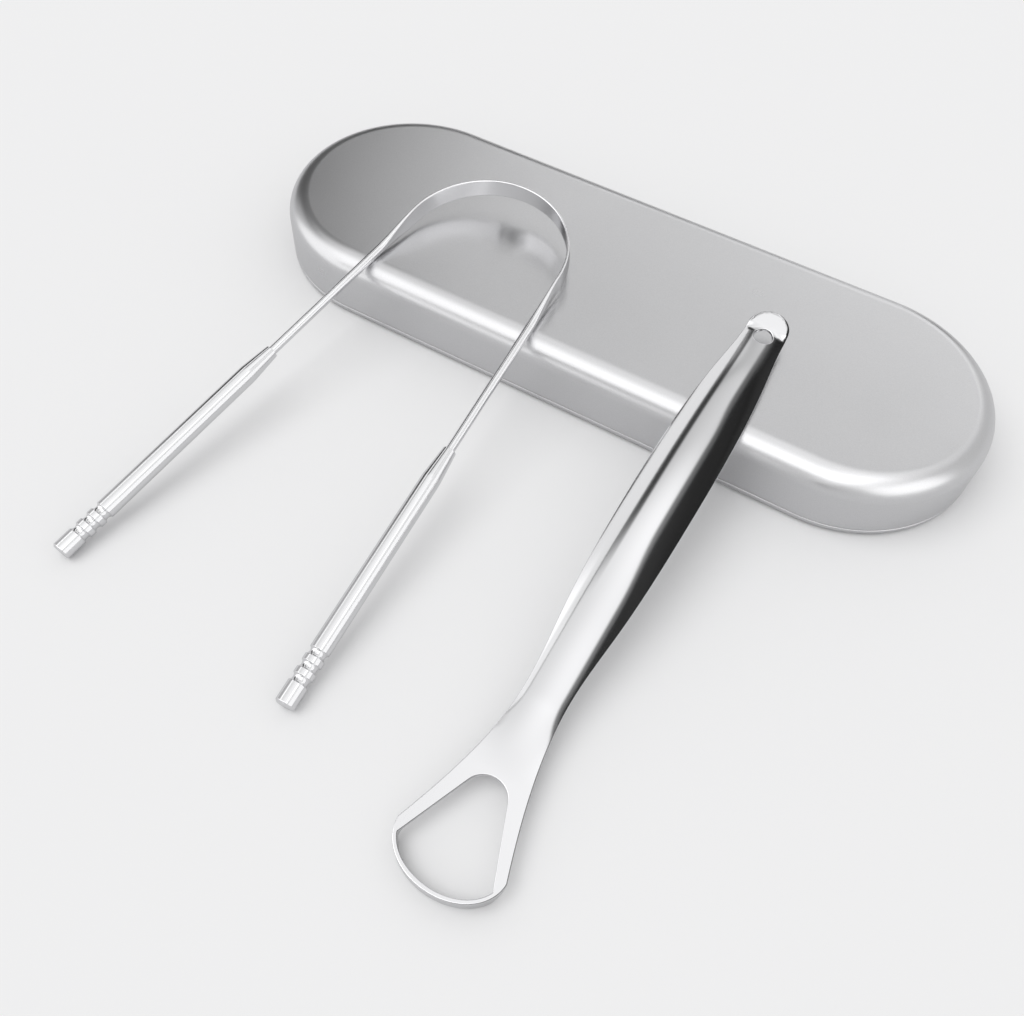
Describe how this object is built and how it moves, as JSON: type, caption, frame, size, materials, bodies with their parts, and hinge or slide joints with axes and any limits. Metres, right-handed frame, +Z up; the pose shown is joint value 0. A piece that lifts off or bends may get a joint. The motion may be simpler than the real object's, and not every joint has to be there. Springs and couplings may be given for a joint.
{
  "type": "tongue scraper set",
  "caption": "Tongue scraper set: a U-shaped wire scraper with turned handles and a pressed loop scraper, leaning on the slip-lid metal case they travel in.",
  "frame": {"origin": "middle of the case's foot, on the surface that the set stands on", "axes": "+X along the case to its right end, +Y from the scrapers' front ends to the case's back, +Z up"},
  "size_m": [0.165, 0.1554, 0.0239],
  "materials": {
    "case_metal": "fine satin",
    "polished_steel": "mirror polished"
  },
  "bodies": {
    "base": {"case_base": "case_metal"},
    "lid": {"case_lid": "case_metal"},
    "wire_scraper": {"scraper_wire": "polished_steel", "left_handle": "polished_steel", "right_handle": "polished_steel"},
    "loop": {"loop_scraper": "polished_steel"}
  },
  "joints": [
    {"name": "lid_lift", "type": "slide", "parent": "base", "child": "lid", "axis": [0, 0, 1], "range_m": [0, 0.03]},
    {"name": "wire_scraper_lift", "type": "slide", "parent": "lid", "child": "wire_scraper", "axis": [0, 0, 1], "range_m": [0, 0.06]},
    {"name": "loop_scraper_lift", "type": "slide", "parent": "lid", "child": "loop", "axis": [0, 0, 1], "range_m": [0, 0.06]}
  ]
}
